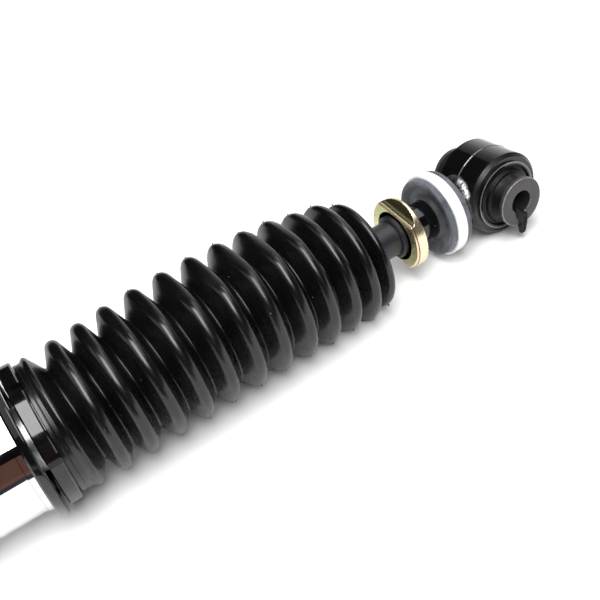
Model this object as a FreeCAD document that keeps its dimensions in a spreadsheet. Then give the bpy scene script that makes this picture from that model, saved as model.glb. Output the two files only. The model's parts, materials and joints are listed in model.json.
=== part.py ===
import FreeCAD, Part
import math
import os
from types import SimpleNamespace

import Sketcher
from FreeCAD import Placement, Rotation, Vector

# A rear shock absorber, lying along +X. The lower eye's bore centre is the origin, +Z is up,
# and both eye bores run along Y. All lengths are millimetres, all angles degrees.

DRIVING = {
    # overall layout
    "eye_to_eye": 450.0,        # bore centre to bore centre at full extension
    "stroke": 60.0,             # rod travel
    "running_gap": 0.05,        # radial gap of a sliding or turning fit
    "face_gap": 0.3,            # end gap between pieces that move past each other
    # eyes and their rubber bushes
    "eye_radius": 21.3,
    "eye_width": 28.4,
    "eye_chamfer": 1.6,
    "eye_rib_width": 1.0,       # parting rib round the middle of the eye
    "eye_rib_height": 0.25,
    "shell_radius": 17.4,       # outside of the pressed-in bush shell
    "shell_wall": 1.4,
    "shell_proud": 1.2,         # how far the shell stands out of the eye at each side
    "sleeve_radius": 9.0,
    "bolt_radius": 6.0,         # bore for the mounting bolt
    "sleeve_width": 51.4,
    "collar_radius": 12.6,      # flange at each end of the sleeve
    "collar_width": 2.3,
    "seam_width": 3.0,          # open seam of the rolled sleeve
    "bush_step_radius": 13.4,
    "bush_step_width": 33.4,
    "bush_cone_radius": 11.0,
    "bush_recess": 1.0,         # how far the rubber lies below the shell's rim
    "tab_width": 3.6,
    "tab_depth": 1.6,
    "tab_drop": 5.0,            # how far the rubber tab hangs below the flange
    "lower_neck_radius": 12.0,
    "upper_neck_radius": 10.0,
    "lower_neck_reach": 38.0,   # from the lower bore centre to the base cap
    "lower_stud_radius": 8.0,
    "lower_stud_length": 14.0,
    "weld_radius": 2.4,
    # body
    "can_radius": 29.5,
    "can_wall": 2.0,
    "can_lip_height": 0.8,      # rolled lip at the upper end
    "can_lip_length": 2.4,
    "can_to_eye": 255.4,        # end of the chrome can to the upper bore centre
    "base_boss_radius": 20.0,
    "base_boss_length": 8.0,
    "base_flange_length": 4.0,
    "base_spigot_length": 9.0,
    "tube_clearance": 4.5,      # between the pressure tube and the can
    "tube_wall": 2.0,
    "tube_seat": 4.0,           # depth of the tube in the base cap
    "head_flange": 8.0,
    "head_plug": 14.0,
    "nose_radius": 15.0,
    "nose_tip": 2.6,
    "guide_bush_wall": 1.6,
    "guide_bush_length": 20.0,
    "seal_radius": 12.0,
    "seal_length": 7.0,
    "wiper_radius": 11.0,
    "wiper_length": 5.0,
    "circlip_wire": 1.2,
    "cord_radius": 1.25,        # section of the sealing rings
    # lock ring, preload ring and lower spring seat
    "lock_ring_radius": 34.6,
    "lock_ring_length": 3.9,
    "ring_gap": 1.9,
    "preload_radius": 32.3,
    "preload_length": 5.9,
    "cuff_step": 3.1,           # first fold of the boot to the preload ring's nose
    "cuff_gap": 0.7,            # boot cuff to the nose inside it
    "preload_nose_length": 3.6,
    "notch_width": 4.6,
    "notch_depth": 3.0,
    "notch_count": 6.0,
    "notch_turn": 14.0,
    "seat_lip": 1.0,            # how far the lower seat stands out past the spring
    "seat_length": 2.8,
    # rod group
    "rod_radius": 7.0,
    "rod_thread_length": 10.0,
    "piston_length": 12.0,
    "piston_gap": 0.4,          # piston land to tube
    "band_length": 6.0,
    "band_wall": 1.5,
    "shim_radius": 15.0,
    "shim_length": 1.6,
    "piston_nut_radius": 10.5,
    "piston_nut_length": 8.0,
    "topout_radius": 13.0,
    "topout_length": 5.0,
    "float_length": 10.0,
    "float_rest": 69.0,         # low face of the floating piston at full extension
    "bump_gap": 1.0,            # bump stop to coil spring
    "bump_length": 30.0,
    "spacer_step": 2.0,         # how much slimmer the spacer is
    "upper_seat_lip": 0.2,
    "upper_seat_length": 3.0,
    "spring_wire": 6.0,
    "spring_radius": 16.6,      # middle of the wire
    "spring_turns": 9.0,
    # boot
    "boot_spring_gap": 0.42,    # boot to coil spring
    "boot_barrel": 2.6,         # how much smaller the end folds are
    "boot_last_drop": 5.5,      # how much smaller the last fold is
    "boot_fold_depth": 9.0,
    "boot_wall": 1.3,
    "boot_skew": 1.6,           # the wall measured across the shock, in walls
    "boot_crest_round": 2.6,
    "boot_folds": 13.0,
    "boot_stretch": 0.25,       # how much wider the middle folds are pitched
    "boot_to_eye": 76.8,        # closed end of the boot to the upper bore centre
    "boot_mouth_length": 3.0,
    "boot_end_length": 2.6,
    "boot_past_seat": 14.6,     # how far the boot reaches past the upper spring seat
    # stud, washer, nut and cushion
    "stud_radius": 9.0,
    "nut_to_eye": 52.9,         # nut's upper face to the upper bore centre
    "nut_radius": 18.3,
    "nut_length": 6.3,
    "nut_collar": 1.8,
    "nut_chamfer": 0.5,
    "nut_flats": 26.8,
    "nut_turn": 12.0,
    "washer_radius": 11.0,
    "washer_length": 2.4,
    "stud_grip": 10.0,          # stud inside the eye's neck
    "cushion_to_eye": 39.6,     # cushion's front rim to the upper bore centre
    "cushion_rim_radius": 20.2,
    "cushion_rim": 3.1,
    "cushion_core_radius": 17.0,
    "cushion_back": 4.2,
    "cushion_dish": 6.0,
    "cushion_throat_radius": 13.4,
    "band_radius": 21.7,
    "band_width": 5.9,
}


class Length:
    """A value together with the spreadsheet expression that gives it."""

    def __init__(self, text, value):
        self.text = text
        self.value = value

    def __add__(self, other):
        other = as_length(other)
        return Length(f"({self.text} + {other.text})", self.value + other.value)

    def __sub__(self, other):
        other = as_length(other)
        return Length(f"({self.text} - {other.text})", self.value - other.value)

    def __mul__(self, other):
        other = as_length(other)
        return Length(f"{self.text} * {other.text}", self.value * other.value)

    def __truediv__(self, other):
        other = as_length(other)
        return Length(f"{self.text} / {other.text}", self.value / other.value)

    def __radd__(self, other):
        return as_length(other) + self

    def __rsub__(self, other):
        return as_length(other) - self

    def __rmul__(self, other):
        return as_length(other) * self

    def __neg__(self):
        return Length(f"(0 - {self.text})", -self.value)


def as_length(term):
    if isinstance(term, Length):
        return term
    return Length(repr(float(term)), float(term))


doc = FreeCAD.newDocument("RearShockAbsorber")
sheet = doc.addObject("Spreadsheet::Sheet", "Sizes")
for row, (alias, number) in enumerate(DRIVING.items(), start=1):
    sheet.set(f"A{row}", alias)
    sheet.set(f"B{row}", str(number))
    sheet.setAlias(f"B{row}", alias)
doc.recompute()
s = SimpleNamespace(**{alias: Length(f"Sizes.{alias}", number) for alias, number in DRIVING.items()})

# ---------------------------------------------------------------- stations along X
base_start = s.lower_neck_reach
base_flange_start = base_start + s.base_boss_length
can_start = base_flange_start + s.base_flange_length
can_end = s.eye_to_eye - s.can_to_eye
tube_start = can_start + s.base_spigot_length - s.tube_seat
head_face = can_end - s.head_flange - s.head_plug
head_shoulder = can_end - s.head_flange
tube_end = head_shoulder
lock_ring_end = can_end + s.lock_ring_length
preload_start = lock_ring_end + s.ring_gap
preload_end = preload_start + s.preload_length
seat_start = preload_end + s.preload_nose_length
seat_end = seat_start + s.seat_length
nose_end = seat_end - s.face_gap
boot_start = preload_end + s.face_gap
boot_end = s.eye_to_eye - s.boot_to_eye
nut_end = s.eye_to_eye - s.nut_to_eye
nut_start = nut_end - s.nut_length
washer_start = nut_start - s.washer_length
upper_seat_end = boot_end - s.boot_past_seat
upper_seat_start = upper_seat_end - s.upper_seat_length
spring_end = upper_seat_start
spacer_end = upper_seat_start
bump_start = seat_end + s.stroke + s.face_gap
spacer_start = bump_start + s.bump_length
topout_end = head_face - s.face_gap
topout_start = topout_end - s.topout_length
rebound_shim_start = topout_start - s.shim_length
piston_start = rebound_shim_start - s.piston_length
compression_shim_start = piston_start - s.shim_length
piston_nut_start = compression_shim_start - s.piston_nut_length
cushion_start = s.eye_to_eye - s.cushion_to_eye
can_bore = s.can_radius - s.can_wall
tube_radius = can_bore - s.tube_clearance
tube_bore = tube_radius - s.tube_wall
eye_bore = s.shell_radius
shell_bore = s.shell_radius - s.shell_wall

spring_outside = s.spring_radius + s.spring_wire / 2
boot_throat = spring_outside + s.boot_spring_gap + s.boot_skew * s.boot_wall
boot_radius = boot_throat + s.boot_fold_depth + s.boot_barrel
preload_nose_radius = boot_radius - s.boot_barrel - s.cuff_step
boot_mouth_radius = preload_nose_radius + s.cuff_gap + s.boot_wall
bump_radius = s.spring_radius - s.spring_wire / 2 - s.bump_gap
spacer_radius = bump_radius - s.spacer_step
seat_radius = spring_outside + s.seat_lip
upper_seat_radius = spring_outside + s.upper_seat_lip

pieces = {}


def keep(name, thing):
    """Name a finished sub-part; the label is also its file name."""
    thing.Label = name
    pieces[name] = thing
    return thing


# ---------------------------------------------------------------- drawing helpers
def origin_plane(body, role):
    return next(feature for feature in body.Origin.OriginFeatures if feature.Role == role)


def pin(sketch, kind, corner, distance, axis):
    """Hold one coordinate of a corner at its distance from the sketch's origin."""
    if distance.value == 0:
        sketch.addConstraint(Sketcher.Constraint("PointOnObject", corner, 1, axis))
        return
    index = sketch.addConstraint(Sketcher.Constraint(kind, -1, 1, corner, 1, distance.value))
    if "Sizes" in distance.text:
        sketch.setExpression(f"Constraints[{index}]", distance.text)


def outline(body, name, corners, role="XZ_Plane"):
    """Sketch a closed outline of straight runs whose corners follow the sheet."""
    sketch = body.newObject("Sketcher::SketchObject", name)
    sketch.AttachmentSupport = [(origin_plane(body, role), "")]
    sketch.MapMode = "FlatFace"
    corners = [(as_length(along), as_length(out)) for along, out in corners]
    points = [Vector(along.value, out.value, 0) for along, out in corners]
    for index, point in enumerate(points):
        sketch.addGeometry(Part.LineSegment(point, points[(index + 1) % len(points)]))
    for index in range(len(points)):
        previous = (index - 1) % len(points)
        sketch.addConstraint(Sketcher.Constraint("Coincident", previous, 2, index, 1))
    for index, (along, out) in enumerate(corners):
        pin(sketch, "DistanceX", index, along, -2)
        pin(sketch, "DistanceY", index, out, -1)
    return sketch


def place(thing, along, across=0, turn=None):
    """Put a sub-part at its station; turn is its rotation about its own origin."""
    along, across = as_length(along), as_length(across)
    thing.Placement = Placement(Vector(along.value, across.value, 0), turn or Rotation())
    thing.setExpression("Placement.Base.x", along.text)
    thing.setExpression("Placement.Base.y", across.text)
    return thing


def turned(name, along, corners, across=0, turn=None):
    """A body turned about its own X axis from (along, out) corners."""
    body = doc.addObject("PartDesign::Body", name)
    sketch = outline(body, f"{name}_outline", corners)
    spin = body.newObject("PartDesign::Revolution", f"{name}_turning")
    spin.Profile = sketch
    spin.ReferenceAxis = (sketch, ["H_Axis"])
    spin.Angle = 360
    body.Tip = spin
    return place(body, along, across, turn)


def ring(name, along, inner, outer, length, **kwargs):
    return turned(name, along, [(0, inner), (length, inner), (length, outer), (0, outer)], **kwargs)


def seal_ring(name, along, middle):
    """A round-section ring about X."""
    torus = doc.addObject("Part::Torus", name)
    torus.setExpression("Radius1", middle.text)
    torus.setExpression("Radius2", s.cord_radius.text)
    return place(torus, along, turn=Rotation(Vector(0, 1, 0), 90))


def block(name, corner, size, angle=0):
    """A plain box given by its low corner and its three sides, then turned about the X axis."""
    box = doc.addObject("Part::Box", name)
    for side, term in zip(("Length", "Width", "Height"), size):
        box.setExpression(side, as_length(term).text)
    along, across, up = [as_length(term) for term in corner]
    cosine, sine = math.cos(math.radians(angle)), math.sin(math.radians(angle))
    low = [along, across * cosine - up * sine, across * sine + up * cosine]
    box.Placement = Placement(Vector(*(term.value for term in low)), Rotation(Vector(1, 0, 0), angle))
    for letter, term in zip("xyz", low):
        box.setExpression(f"Placement.Base.{letter}", term.text)
    return box


def joined(name, *parts):
    fuse = doc.addObject("Part::MultiFuse", name)
    fuse.Shapes = list(parts)
    return fuse


def cut(name, base, tool):
    result = doc.addObject("Part::Cut", name)
    result.Base = base
    result.Tool = tool
    return result


# ---------------------------------------------------------------- eyes and bushes
ACROSS = Rotation(Vector(0, 0, 1), 90)      # turns a piece's own X axis to run along +Y


def eye(name, centre, neck, turn=None):
    """An eye barrel across the end of a turned neck; the neck's last corners reach the bore centre."""
    barrel = turned(
        f"{name}_barrel", centre,
        [
            (0, 0),
            (s.eye_width, 0),
            (s.eye_width, s.eye_radius - s.eye_chamfer),
            (s.eye_width - s.eye_chamfer, s.eye_radius),
            ((s.eye_width + s.eye_rib_width) / 2, s.eye_radius),
            (s.eye_width / 2, s.eye_radius + s.eye_rib_height),
            ((s.eye_width - s.eye_rib_width) / 2, s.eye_radius),
            (s.eye_chamfer, s.eye_radius),
            (0, s.eye_radius - s.eye_chamfer),
        ],
        across=-s.eye_width / 2, turn=ACROSS,
    )
    bore = turned(
        f"{name}_bore", centre,
        [(0, 0), (2 * s.eye_width, 0), (2 * s.eye_width, eye_bore), (0, eye_bore)],
        across=-s.eye_width, turn=ACROSS,
    )
    return keep(name, cut(f"{name}_cut", joined(f"{name}_blank", barrel, neck), bore))


def bush(prefix, centre):
    """Shell, rubber, rolled sleeve, far flange and rubber tab of one eye."""
    half = s.sleeve_width / 2
    shell_width = s.eye_width + 2 * s.shell_proud
    keep(f"{prefix}_bush_shell", ring(
        f"{prefix}_bush_shell", centre, shell_bore, s.shell_radius, shell_width,
        across=-shell_width / 2, turn=ACROSS,
    ))
    rubber_bore = s.sleeve_radius + s.running_gap
    rubber_width = s.sleeve_width - 2 * s.collar_width - 2 * s.face_gap
    low_step = (rubber_width - s.bush_step_width) / 2
    low_face = (rubber_width - shell_width) / 2 + s.bush_recess
    keep(f"{prefix}_bush_rubber", turned(
        f"{prefix}_bush_rubber", centre,
        [
            (0, rubber_bore),
            (rubber_width, rubber_bore),
            (rubber_width, s.bush_cone_radius),
            (rubber_width - low_step, s.bush_step_radius),
            (rubber_width - low_face, shell_bore),
            (low_face, shell_bore),
            (low_step, s.bush_step_radius),
            (0, s.bush_cone_radius),
        ],
        across=-rubber_width / 2, turn=ACROSS,
    ))
    blank = turned(
        f"{prefix}_sleeve_blank", centre,
        [
            (0, s.bolt_radius),
            (s.sleeve_width, s.bolt_radius),
            (s.sleeve_width, s.sleeve_radius),
            (s.collar_width, s.sleeve_radius),
            (s.collar_width, s.collar_radius),
            (0, s.collar_radius),
        ],
        across=-half, turn=ACROSS,
    )
    seam = block(
        f"{prefix}_seam",
        (centre - s.seam_width / 2, -half - s.collar_width, -s.collar_radius - s.collar_width),
        (
            s.seam_width,
            s.sleeve_width + 2 * s.collar_width,
            s.collar_radius + s.collar_width - s.bolt_radius / 2,
        ),
    )
    keep(f"{prefix}_sleeve", cut(f"{prefix}_sleeve_cut", blank, seam))
    keep(f"{prefix}_far_flange", ring(
        f"{prefix}_far_flange", centre, s.sleeve_radius, s.collar_radius, s.collar_width,
        across=half - s.collar_width, turn=ACROSS,
    ))
    hanging = block(
        f"{prefix}_tab_hanging",
        (centre - s.tab_width / 2, -half - s.tab_depth, -s.collar_radius - s.tab_drop),
        (s.tab_width, s.tab_depth, s.collar_radius + s.tab_drop - s.bolt_radius - s.running_gap),
    )
    root_width = s.seam_width - 2 * s.running_gap
    root = block(
        f"{prefix}_tab_root",
        (centre - root_width / 2, -half - s.tab_depth / 2, -s.collar_radius),
        (root_width, s.collar_width + s.tab_depth / 2, s.collar_radius - s.bolt_radius - s.running_gap),
    )
    keep(f"{prefix}_bush_tab", joined(f"{prefix}_tab_join", hanging, root))


# ---------------------------------------------------------------- lower end
lower_neck = turned("lower_neck", 0, [
    (0, 0),
    (s.lower_neck_reach + s.lower_stud_length, 0),
    (s.lower_neck_reach + s.lower_stud_length, s.lower_stud_radius),
    (s.lower_neck_reach, s.lower_stud_radius),
    (s.lower_neck_reach, s.lower_neck_radius),
    (0, s.lower_neck_radius),
])
eye("lower_eye", 0, lower_neck)
bush("lower", 0)

keep("base_cap", turned("base_cap", base_start, [
    (0, s.lower_stud_radius),
    (s.lower_stud_length, s.lower_stud_radius),
    (s.lower_stud_length, 0),
    (s.base_boss_length + s.base_flange_length + s.base_spigot_length - s.tube_seat, 0),
    (s.base_boss_length + s.base_flange_length + s.base_spigot_length - s.tube_seat, tube_radius),
    (s.base_boss_length + s.base_flange_length + s.base_spigot_length, tube_radius),
    (s.base_boss_length + s.base_flange_length + s.base_spigot_length, can_bore),
    (s.base_boss_length + s.base_flange_length, can_bore),
    (s.base_boss_length + s.base_flange_length, s.can_radius),
    (s.base_boss_length, s.can_radius),
    (s.base_boss_length, s.base_boss_radius),
    (0, s.base_boss_radius),
]))
can_length = can_end - can_start
keep("canister", turned("canister", can_start, [
    (0, can_bore),
    (can_length, can_bore),
    (can_length, s.can_radius + s.can_lip_height),
    (can_length - s.can_lip_length, s.can_radius + s.can_lip_height),
    (can_length - s.can_lip_length, s.can_radius),
    (0, s.can_radius),
]))
keep("pressure_tube", ring("pressure_tube", tube_start, tube_bore, tube_radius, tube_end - tube_start))

# ---------------------------------------------------------------- rod guide and seals
bush_bore = s.rod_radius + s.running_gap
bush_seat = bush_bore + s.guide_bush_wall
head_length = nose_end - head_face
seal_start = nose_end - s.wiper_length - s.seal_length
head_groove = s.head_plug / 2
keep("rod_guide", turned("rod_guide", head_face, [
    (0, bush_seat),
    (head_length - s.wiper_length - s.seal_length, bush_seat),
    (head_length - s.wiper_length - s.seal_length, s.seal_radius),
    (head_length - s.wiper_length, s.seal_radius),
    (head_length - s.wiper_length, s.wiper_radius),
    (head_length, s.wiper_radius),
    (head_length, s.nose_radius - s.nose_tip / 2),
    (head_length - s.nose_tip / 2, s.nose_radius),
    (s.head_plug + s.head_flange, s.nose_radius),
    (s.head_plug + s.head_flange, can_bore),
    (s.head_plug, can_bore),
    (s.head_plug, tube_bore),
    (head_groove + s.cord_radius, tube_bore),
    (head_groove + s.cord_radius, tube_bore - 2 * s.cord_radius),
    (head_groove - s.cord_radius, tube_bore - 2 * s.cord_radius),
    (head_groove - s.cord_radius, tube_bore),
    (0, tube_bore),
]))
keep("head_seal_ring", seal_ring("head_seal_ring", head_face + head_groove, tube_bore - s.cord_radius))
keep("guide_bush", ring("guide_bush", head_face, bush_bore, bush_seat, s.guide_bush_length))
keep("oil_seal", ring("oil_seal", seal_start, bush_bore, s.seal_radius, s.seal_length))
keep("seal_circlip", ring(
    "seal_circlip", seal_start + s.seal_length,
    s.wiper_radius - s.circlip_wire, s.wiper_radius, s.circlip_wire,
))
keep("wiper", turned("wiper", seal_start + s.seal_length + s.circlip_wire, [
    (0, bush_bore),
    (s.wiper_length - s.circlip_wire, bush_bore),
    (s.wiper_length - s.circlip_wire, s.wiper_radius - s.circlip_wire),
    (s.circlip_wire, s.wiper_radius),
    (0, s.wiper_radius),
]))

# ---------------------------------------------------------------- rings and lower spring seat
thread_bore = s.nose_radius + s.running_gap
chamfer = s.circlip_wire / 2
keep("lock_ring", turned("lock_ring", can_end, [
    (0, thread_bore),
    (s.lock_ring_length, thread_bore),
    (s.lock_ring_length, s.lock_ring_radius - chamfer),
    (s.lock_ring_length - chamfer, s.lock_ring_radius),
    (chamfer, s.lock_ring_radius),
    (0, s.lock_ring_radius - chamfer),
]))

preload_blank = turned("preload_blank", preload_start, [
    (0, thread_bore),
    (s.preload_length + s.preload_nose_length - s.face_gap, thread_bore),
    (s.preload_length + s.preload_nose_length - s.face_gap, preload_nose_radius),
    (s.preload_length, preload_nose_radius),
    (s.preload_length, s.preload_radius - chamfer),
    (s.preload_length - chamfer, s.preload_radius),
    (chamfer, s.preload_radius),
    (0, s.preload_radius - chamfer),
])
notches = []
for index in range(int(DRIVING["notch_count"])):
    notches.append(block(
        f"notch_{index + 1}",
        (preload_start - s.face_gap, -s.notch_width / 2, s.preload_radius - s.notch_depth),
        (s.preload_length + 2 * s.face_gap, s.notch_width, 2 * s.notch_depth),
        angle=DRIVING["notch_turn"] + 360 * index / DRIVING["notch_count"],
    ))
keep("preload_ring", cut("preload_cut", preload_blank, joined("notches", *notches)))
keep("spring_seat", turned("spring_seat", seat_start, [
    (0, thread_bore),
    (s.seat_length, thread_bore),
    (s.seat_length, seat_radius),
    (0, seat_radius),
]))

# ---------------------------------------------------------------- piston group
keep("floating_piston", turned("floating_piston", s.float_rest, [
    (0, 0),
    (s.float_length, 0),
    (s.float_length, tube_bore - s.running_gap),
    (s.float_length / 2 + s.cord_radius, tube_bore - s.running_gap),
    (s.float_length / 2 + s.cord_radius, tube_bore - s.running_gap - 2 * s.cord_radius),
    (s.float_length / 2 - s.cord_radius, tube_bore - s.running_gap - 2 * s.cord_radius),
    (s.float_length / 2 - s.cord_radius, tube_bore - s.running_gap),
    (0, tube_bore - s.running_gap),
]))
keep("float_seal_ring", seal_ring(
    "float_seal_ring", s.float_rest + s.float_length / 2, tube_bore - s.running_gap - s.cord_radius,
))
rod_thread_end = upper_seat_start + s.rod_thread_length
keep("piston_rod", turned("piston_rod", piston_nut_start, [
    (0, 0),
    (rod_thread_end - piston_nut_start, 0),
    (rod_thread_end - piston_nut_start, s.rod_radius),
    (chamfer, s.rod_radius),
    (0, s.rod_radius - chamfer),
]))
piston_land = tube_bore - s.piston_gap
band_seat = tube_bore - s.running_gap - s.band_wall
keep("piston", turned("piston", piston_start, [
    (0, s.rod_radius),
    (s.piston_length, s.rod_radius),
    (s.piston_length, piston_land),
    ((s.piston_length + s.band_length) / 2, piston_land),
    ((s.piston_length + s.band_length) / 2, band_seat),
    ((s.piston_length - s.band_length) / 2, band_seat),
    ((s.piston_length - s.band_length) / 2, piston_land),
    (0, piston_land),
]))
keep("piston_band", ring(
    "piston_band", piston_start + (s.piston_length - s.band_length) / 2,
    band_seat, tube_bore - s.running_gap, s.band_length,
))
for name, start in (("compression_shims", compression_shim_start), ("rebound_shims", rebound_shim_start)):
    keep(name, ring(name, start, s.rod_radius, s.shim_radius, s.shim_length))
keep("piston_nut", ring(
    "piston_nut", piston_nut_start, s.rod_radius, s.piston_nut_radius, s.piston_nut_length,
))
keep("topout_bumper", ring("topout_bumper", topout_start, s.rod_radius, s.topout_radius, s.topout_length))

# ---------------------------------------------------------------- spring, stop and upper seat
bump_waist = bump_radius - 2 * s.circlip_wire
keep("bump_stop", turned("bump_stop", bump_start, [
    (0, s.rod_radius),
    (s.bump_length, s.rod_radius),
    (s.bump_length, bump_radius),
    (s.bump_length * 0.6, bump_waist),
    (s.bump_length * 0.4, bump_radius),
    (s.bump_length * 0.2, bump_waist),
    (0, spacer_radius),
]))
keep("stop_spacer", ring("stop_spacer", spacer_start, s.rod_radius, spacer_radius, spacer_end - spacer_start))
keep("upper_spring_seat", turned("upper_spring_seat", upper_seat_start, [
    (0, s.rod_radius),
    (s.upper_seat_length, s.rod_radius),
    (s.upper_seat_length, upper_seat_radius - 2 * s.circlip_wire),
    (s.upper_seat_length - s.circlip_wire, upper_seat_radius),
    (0, upper_seat_radius),
]))

wire_radius = s.spring_wire / 2
coil_start = seat_end + wire_radius
coil_end = spring_end - wire_radius
helix = doc.addObject("Part::Helix", "spring_helix")
helix.setExpression("Radius", s.spring_radius.text)
helix.setExpression("Height", (coil_end - coil_start).text)
helix.setExpression("Pitch", ((coil_end - coil_start) / s.spring_turns).text)
section = doc.addObject("Part::Circle", "spring_section")
section.setExpression("Radius", wire_radius.text)
section.Placement = Placement(Vector(DRIVING["spring_radius"], 0, 0), Rotation(Vector(1, 0, 0), 90))
section.setExpression("Placement.Base.x", s.spring_radius.text)
coil = doc.addObject("Part::Sweep", "spring_coil")
coil.Sections = [section]
coil.Spine = (helix, [])
coil.Solid = True
coil.Frenet = True
keep("coil_spring", place(coil, coil_start, turn=Rotation(Vector(0, 1, 0), 90)))


# ---------------------------------------------------------------- boot
def fold_stations(start, end, count, stretch):
    """Crest stations with the pitch widest in the middle of the boot."""
    pitches = [1 + stretch * math.sin(math.pi * (index + 0.5) / (count - 1)) for index in range(count - 1)]
    scale = (end - start) / sum(pitches)
    stations = [start]
    for pitch in pitches:
        stations.append(stations[-1] + pitch * scale)
    return stations


def fold_radii(count, radius, barrel, last_drop):
    """Crest radii: fullest in the middle, and a small last fold."""
    middle = (count - 1) / 2
    radii = [radius - barrel * ((index - middle) / middle) ** 2 for index in range(count)]
    radii[-1] = radius - last_drop
    return radii


def rounded_corner(before, corner, after, radius):
    """Arc of the given radius that rounds a corner, as its two tangent points and its middle."""
    back = (before - corner).normalize()
    ahead = (after - corner).normalize()
    half = back.getAngle(ahead) / 2
    reach = radius / math.tan(half)
    middle = (back + ahead).normalize()
    centre = corner + middle * (radius / math.sin(half))
    return corner + back * reach, centre - middle * radius, corner + ahead * reach


def rounded_path(points, radius):
    """Straight runs between points, with every inner corner rounded."""
    edges = []
    last = points[0]
    for before, corner, after in zip(points, points[1:], points[2:]):
        entry, middle, leave = rounded_corner(before, corner, after, radius)
        edges.append(Part.makeLine(last, entry))
        edges.append(Part.Arc(entry, middle, leave).toShape())
        last = leave
    edges.append(Part.makeLine(last, points[-1]))
    return edges


def boot_shape():
    size = SimpleNamespace(**DRIVING)
    count = int(size.boot_folds)
    first = boot_start.value + size.boot_mouth_length + size.boot_crest_round
    final = boot_end.value - size.boot_end_length - size.boot_crest_round / 2
    stations = fold_stations(first, final, count, size.boot_stretch)
    radii = fold_radii(count, boot_radius.value, size.boot_barrel, size.boot_last_drop)
    peak = size.boot_crest_round * 0.35
    mouth = Vector(boot_start.value, boot_mouth_radius.value, 0)
    rod_hole = size.stud_radius
    outer = [mouth]
    for index, (station, radius) in enumerate(zip(stations, radii)):
        if index:
            valley = min(radii[index - 1], radius) - size.boot_fold_depth
            outer.append(Vector((stations[index - 1] + station) / 2, valley, 0))
        outer.append(Vector(station, radius + peak, 0))
    outer.append(Vector(boot_end.value, rod_hole + 2 * size.boot_wall, 0))
    inner = [point - Vector(0, size.boot_skew * size.boot_wall, 0) for point in outer]
    inner[0] = mouth - Vector(0, size.boot_wall, 0)
    inner[-1] = Vector(boot_end.value - size.boot_wall, rod_hole, 0)
    outer_edges = rounded_path(outer, size.boot_crest_round * 0.5)
    inner_edges = rounded_path(inner, size.boot_crest_round * 0.5)
    end_cap = [
        Part.makeLine(outer[-1], Vector(boot_end.value, rod_hole, 0)),
        Part.makeLine(Vector(boot_end.value, rod_hole, 0), inner[-1]),
    ]
    mouth_edge = [Part.makeLine(inner[0], outer[0])]
    loop = Part.Wire(Part.sortEdges(outer_edges + end_cap + inner_edges + mouth_edge)[0])
    return Part.Face(loop).revolve(Vector(), Vector(1, 0, 0), 360)


boot = doc.addObject("Part::Feature", "boot")
boot.Shape = boot_shape()
keep("boot", boot)

# ---------------------------------------------------------------- stud, washer and nut
stud_end = nut_end + s.stud_grip
stud_start = upper_seat_end
keep("rod_stud", turned("rod_stud", stud_start, [
    (0, s.rod_radius),
    (rod_thread_end - stud_start, s.rod_radius),
    (rod_thread_end - stud_start, 0),
    (stud_end - stud_start, 0),
    (stud_end - stud_start, s.stud_radius - chamfer),
    (stud_end - stud_start - chamfer, s.stud_radius),
    (0, s.stud_radius),
]))
keep("stud_washer", turned("stud_washer", washer_start, [
    (0, s.stud_radius),
    (s.washer_length, s.stud_radius),
    (s.washer_length, s.washer_radius),
    (s.washer_length / 3, s.washer_radius),
    (0, s.washer_radius - s.washer_length / 3),
]))
nut_blank = turned("jam_nut_blank", nut_start, [
    (0, s.stud_radius),
    (s.nut_length, s.stud_radius),
    (s.nut_length, s.nut_radius - s.nut_chamfer),
    (s.nut_length - s.nut_chamfer, s.nut_radius),
    (s.nut_chamfer, s.nut_radius),
    (0, s.nut_radius - s.nut_chamfer),
])
flats = []
for side in (0, 180):
    flats.append(block(
        f"nut_flat_{side}",
        (nut_start - s.nut_chamfer, -s.nut_radius, s.nut_flats / 2),
        (s.nut_length - s.nut_collar + s.nut_chamfer, 2 * s.nut_radius, s.nut_radius),
        angle=DRIVING["nut_turn"] + side,
    ))
keep("jam_nut", cut("jam_nut_cut", nut_blank, joined("nut_flats_pair", *flats)))

# ---------------------------------------------------------------- cushion and upper eye
cushion_length = s.cushion_rim + s.band_width + s.cushion_back
shoulder = s.band_radius - s.nut_chamfer
keep("bump_cushion", turned("bump_cushion", cushion_start, [
    (s.cushion_dish, s.upper_neck_radius),
    (cushion_length, s.upper_neck_radius),
    (cushion_length, s.cushion_rim_radius - s.cushion_rim / 3),
    (cushion_length - s.cushion_rim / 3, s.cushion_rim_radius),
    (s.cushion_rim + s.band_width, shoulder),
    (s.cushion_rim + s.band_width, s.cushion_core_radius),
    (s.cushion_rim, s.cushion_core_radius),
    (s.cushion_rim, shoulder),
    (0, s.cushion_rim_radius),
    (0, s.cushion_rim_radius - s.cushion_rim / 3),
    (s.cushion_dish * 0.75, s.cushion_throat_radius),
]))
keep("cushion_band", turned("cushion_band", cushion_start + s.cushion_rim, [
    (0, s.cushion_core_radius),
    (s.band_width, s.cushion_core_radius),
    (s.band_width, s.band_radius - s.nut_chamfer),
    (s.band_width - s.nut_chamfer, s.band_radius),
    (s.nut_chamfer, s.band_radius),
    (0, s.band_radius - s.nut_chamfer),
]))
upper_neck = turned("upper_neck", nut_end, [
    (0, s.stud_radius),
    (s.stud_grip, s.stud_radius),
    (s.stud_grip, 0),
    (s.nut_to_eye, 0),
    (s.nut_to_eye, s.upper_neck_radius),
    (0, s.upper_neck_radius),
])
eye("upper_eye", s.eye_to_eye, upper_neck)
bush("upper", s.eye_to_eye)

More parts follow.
